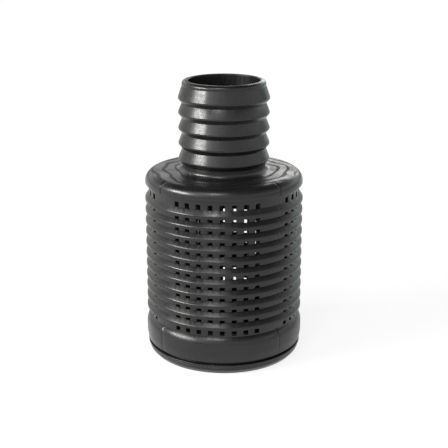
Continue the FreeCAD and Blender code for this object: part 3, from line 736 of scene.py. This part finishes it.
CLAPPER_Y = -2.0
BOLT_HOLE = 2.1
BOLT_ROOT = 1.8
BOLT_HEAD = 3.6
SEAL_LOW, SEAL_HIGH = node_box("clapper_seal")
DISC_LOW, DISC_HIGH = node_box("clapper_disc")
WASHER_LOW, WASHER_HIGH = node_box("seal_washer")
BOLT_LOW, BOLT_HIGH = node_box("clapper_screw")
NUT_LOW, NUT_HIGH = node_box("clapper_nut")
PIN_LOW, PIN_HIGH = node_box("hinge_pin")
ORING_LOW, ORING_HIGH = node_box("seat_oring")
AT_CLAPPER = Matrix.Translation((0, CLAPPER_Y, 0))


def make_seat_oring():
    """Rubber ring in the groove of the seat ring."""
    bm = bmesh.new()
    section = (ORING_HIGH.z - ORING_LOW.z) / 2
    middle = ORING_HIGH.x - section
    level = ORING_LOW.z + section
    circle = [(middle + section * math.cos(FULL_TURN * step / 24),
               level + section * math.sin(FULL_TURN * step / 24)) for step in range(24)]
    lathe(bm, circle, segments=160)
    place_piece("seat_oring_rubber", bm, "valve", RUBBER, "seat_oring", 80)


def make_clapper_seal():
    """Rubber facing with a softly rounded edge and a shallow print of the seat."""
    bm = bmesh.new()
    radius = SEAL_HIGH.x
    lathe(bm, rounded([
        (BOLT_HOLE, SEAL_LOW.z), (13.4, SEAL_LOW.z, 0.1), (13.7, SEAL_LOW.z + 0.05, 0.1),
        (15.0, SEAL_LOW.z + 0.05, 0.1), (radius, SEAL_LOW.z + 0.1, 0.4), (radius, SEAL_HIGH.z, 0.5),
        (BOLT_HOLE, SEAL_HIGH.z)]), segments=128, matrix=AT_CLAPPER)
    place_piece("clapper_seal_rubber", bm, "clapper", RUBBER, "clapper_seal")


def make_seal_washer():
    """Washer that holds the facing from below."""
    bm = bmesh.new()
    lathe(bm, rounded([
        (BOLT_HOLE, WASHER_LOW.z), (WASHER_HIGH.x, WASHER_LOW.z, 0.25),
        (WASHER_HIGH.x, WASHER_HIGH.z, 0.1), (BOLT_HOLE, WASHER_HIGH.z)]), segments=64, matrix=AT_CLAPPER)
    place_piece("seal_washer_steel", bm, "clapper", SHEET_STEEL, "seal_washer")


def make_clapper_disc():
    """Steel backing disc with a turned edge, a low ring near its rim and a flat beside the hinge."""
    bm = bmesh.new()
    low, high = DISC_LOW.z, DISC_HIGH.z
    radius = DISC_HIGH.x
    lathe(bm, rounded([
        (BOLT_HOLE, low), (radius, low, 0.15), (radius, high, 0.45), (14.2, high, 0.3),
        (13.9, high - 0.25, 0.2), (12.6, high - 0.25, 0.2), (12.3, high, 0.3), (BOLT_HOLE, high)]),
        segments=160, matrix=AT_CLAPPER)
    cutter = bmesh.new()
    prism(cutter, [(-20, DISC_HIGH.y), (20, DISC_HIGH.y), (20, 20), (-20, 20)], low - 1, high + 1)
    bm = combine(bm, cutter, "DIFFERENCE")
    place_piece("clapper_disc_steel", bm, "clapper", SHEET_STEEL, "clapper_disc")


def make_clapper_screw():
    """Socket-head screw pointing up, its thread showing above the nut."""
    bm = bmesh.new()
    under = WASHER_LOW.z
    lathe(bm, rounded([
        (0.0, BOLT_LOW.z), (BOLT_HEAD, BOLT_LOW.z, 0.35), (BOLT_HEAD, under, 0.15),
        (BOLT_ROOT, under, 0.1), (BOLT_ROOT, BOLT_HIGH.z - 0.3), (1.5, BOLT_HIGH.z),
        (0.0, BOLT_HIGH.z)]),
        segments=64, closed=False)
    socket = bmesh.new()
    prism(socket, [(1.7 * math.cos(FULL_TURN * step / 6), 1.7 * math.sin(FULL_TURN * step / 6))
                   for step in range(6)], BOLT_LOW.z - 1, BOLT_LOW.z + 1.5)
    bm = combine(bm, socket, "DIFFERENCE")
    thread(bm, BOLT_ROOT, 2.0, 0.7, NUT_LOW.z - 4.0, 13.0)
    bmesh.ops.transform(bm, matrix=AT_CLAPPER, verts=bm.verts)
    place_piece("clapper_screw_steel", bm, "clapper", STEEL, "clapper_screw")


def make_clapper_nut():
    """Hexagon lock nut: chamfered corners below, a round collar with a nylon ring on top."""
    flats = NUT_HIGH.y - CLAPPER_Y
    corner = flats / math.cos(math.radians(30))
    shoulder = NUT_LOW.z + 3.2
    bm = bmesh.new()
    prism(bm, [(corner * math.cos(FULL_TURN * step / 6), corner * math.sin(FULL_TURN * step / 6))
               for step in range(6)], NUT_LOW.z, shoulder)
    envelope = bmesh.new()
    lathe(envelope, [(0.0, NUT_LOW.z - 0.01), (flats - 0.05, NUT_LOW.z - 0.01), (corner, NUT_LOW.z + 0.45),
                     (corner, shoulder - 0.45), (flats - 0.05, shoulder + 0.01), (0.0, shoulder + 0.01)],
          segments=96, closed=False)
    bm = combine(bm, envelope, "INTERSECT")
    crown = bmesh.new()
    lathe(crown, rounded([
        (0.0, shoulder - 0.6), (3.1, shoulder - 0.6), (3.1, NUT_HIGH.z, 0.6), (2.45, NUT_HIGH.z, 0.0),
        (2.45, NUT_HIGH.z - 0.3, 0.0), (0.0, NUT_HIGH.z - 0.3)]), segments=64, closed=False)
    bm = combine(bm, crown, "UNION")
    bore = bmesh.new()
    lathe(bore, [(0.0, NUT_LOW.z - 1), (2.6, NUT_LOW.z - 1), (2.05, NUT_LOW.z + 0.4),
                 (2.05, NUT_HIGH.z + 1), (0.0, NUT_HIGH.z + 1)], segments=64, closed=False)
    bm = combine(bm, bore, "DIFFERENCE")
    bmesh.ops.transform(bm, matrix=AT_CLAPPER, verts=bm.verts)
    place_piece("clapper_nut_steel", bm, "clapper", STEEL, "clapper_nut")


def make_hinge_pin():
    """Turned pin with chamfered ends, along X."""
    bm = bmesh.new()
    radius = (PIN_HIGH.z - PIN_LOW.z) / 2
    half = PIN_HIGH.x
    lathe(bm, rounded([(0.0, -half), (radius - 0.3, -half, 0.1), (radius, -half + 0.3, 0.1),
                       (radius, half - 0.3, 0.1), (radius - 0.3, half, 0.1), (0.0, half)]),
          segments=48, closed=False)
    turn = Matrix.Rotation(math.radians(90), 4, "Y")
    middle = (PIN_LOW + PIN_HIGH) / 2
    bmesh.ops.transform(bm, matrix=Matrix.Translation(middle) @ turn, verts=bm.verts)
    place_piece("hinge_pin_steel", bm, "valve", STEEL, "hinge_pin")


def dress_cad_node(name, material, width):
    """Keep a CAD node's shape: soften its edges and give it its material."""
    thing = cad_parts[name]
    slots = thing.data.materials
    for index in range(len(slots)):
        slots[index] = material
    if not slots:
        slots.append(material)
    bevel = thing.modifiers.new("edges", "BEVEL")
    bevel.width = width * MM
    bevel.segments = 2
    bevel.limit_method = "ANGLE"
    bevel.angle_limit = math.radians(35)


make_moulded_body()
make_base_plate()
for screw_number in range(1, 5):
    make_base_screw(screw_number)
make_seat_oring()
make_clapper_seal()
make_seal_washer()
make_clapper_disc()
make_clapper_screw()
make_clapper_nut()
make_hinge_pin()
dress_cad_node("seat_ring", VALVE_GREY, 0.2)
dress_cad_node("clapper_arm", VALVE_GREY, 0.3)
dress_cad_node("retaining_ring", SHEET_STEEL, 0.12)
dress_cad_node("pin_clip_left", SHEET_STEEL, 0.08)
dress_cad_node("pin_clip_right", SHEET_STEEL, 0.08)


# ---------------------------------------------------------------- studio

def white_floor():
    """A large plain floor that glows like a lit sweep of paper, a little less round the object."""
    bm = bmesh.new()
    lathe(bm, [(0.0, -0.1), (3200.0, -0.1)], segments=96, closed=False)
    bmesh.ops.scale(bm, vec=(MM, MM, MM), verts=bm.verts)
    mesh = bpy.data.meshes.new("floor")
    bm.to_mesh(mesh)
    bm.free()
    floor = bpy.data.objects.new("floor", mesh)
    bpy.context.scene.collection.objects.link(floor)
    n = Nodes("floor_white")
    distance = n.add("ShaderNodeVectorMath", operation="LENGTH")
    n.link(n.place, distance.inputs[0])
    glow = n.ramp(distance.outputs["Value"], (0.35, 0.93), (0.95, 1.0))
    n.give(Base_Color=grey(0.22), Roughness=0.8, Specular_IOR_Level=0.1,
           Emission_Color=glow, Emission_Strength=0.89)
    mesh.materials.append(n.material)


def surroundings():
    """A plain studio all round: dim at the horizon, brighter some way up, dimmer again overhead."""
    world = bpy.data.worlds.new("studio")
    world.use_nodes = True
    tree = world.node_tree
    place = tree.nodes.new("ShaderNodeTexCoord")
    split = tree.nodes.new("ShaderNodeSeparateXYZ")
    shade = tree.nodes.new("ShaderNodeValToRGB")
    stops = [(0.0, 0.35), (0.12, 0.45), (0.24, 1.5), (0.34, 1.35), (0.5, 0.5), (0.7, 0.1), (1.0, 0.06)]
    while len(shade.color_ramp.elements) < len(stops):
        shade.color_ramp.elements.new(1.0)
    for element, (position, value) in zip(shade.color_ramp.elements, stops):
        element.position = position
        element.color = grey(value)
    tree.links.new(place.outputs["Generated"], split.inputs["Vector"])
    tree.links.new(split.outputs["Z"], shade.inputs["Fac"])
    tree.links.new(shade.outputs["Color"], tree.nodes["Background"].inputs["Color"])
    bpy.context.scene.world = world


def soft_light(name, azimuth, elevation, distance, size, power, tint=(1.0, 1.0, 1.0)):
    """A rectangular area light aimed at the object; azimuth 0 is in front and positive is to the right."""
    across = math.radians(azimuth)
    up = math.radians(elevation)
    direction = Vector((math.sin(across) * math.cos(up), -math.cos(across) * math.cos(up), math.sin(up)))
    data = bpy.data.lights.new(name, "AREA")
    data.shape = "RECTANGLE"
    data.size, data.size_y = size
    data.energy = power
    data.color = tint
    light = bpy.data.objects.new(name, data)
    light.location = Vector((0, 0, 0.09)) + direction * distance
    light.rotation_euler = (-direction).to_track_quat("-Z", "Y").to_euler()
    bpy.context.scene.collection.objects.link(light)


def studio():
    """Floor, surroundings and lights; the colours are shown without a film look."""
    white_floor()
    surroundings()
    bpy.context.scene.view_settings.view_transform = "Standard"
    soft_light("key_softbox", -62.0, 24.0, 1.1, (0.56, 0.22), 14.0, (1.0, 0.99, 0.97))
    soft_light("key_spill", -28.0, 36.0, 1.1, (0.5, 0.6), 1.2)
    soft_light("top_softbox", -11.0, 46.0, 1.1, (0.3, 0.2), 3.4)
    soft_light("left_fill", -120.0, 4.0, 1.3, (1.2, 0.3), 0.4, (1.0, 0.98, 0.8))
    soft_light("right_glow", 144.0, 8.0, 1.3, (0.22, 0.8), 0.4, (0.5, 0.93, 1.0))
    soft_light("back_window", 172.0, 16.0, 1.6, (0.6, 0.4), 1.7, (1.0, 1.0, 0.95))


def camera():
    """The view: a little from the right of the front, from above the mouth, looking down at the valve."""
    distance = 0.5723
    above_mouth = 0.0934
    pitch = math.radians(17.32)
    azimuth = math.radians(5.7)
    data = bpy.data.cameras.new("camera")
    data.sensor_width = 36.0
    data.lens = 82.1
    view = bpy.data.objects.new("camera", data)
    view.location = (distance * math.sin(azimuth), -distance * math.cos(azimuth),
                     MOUTH * MM + above_mouth)
    view.rotation_euler = (math.radians(90) - pitch, 0, azimuth)
    bpy.context.scene.collection.objects.link(view)
    bpy.context.scene.camera = view


studio()
camera()
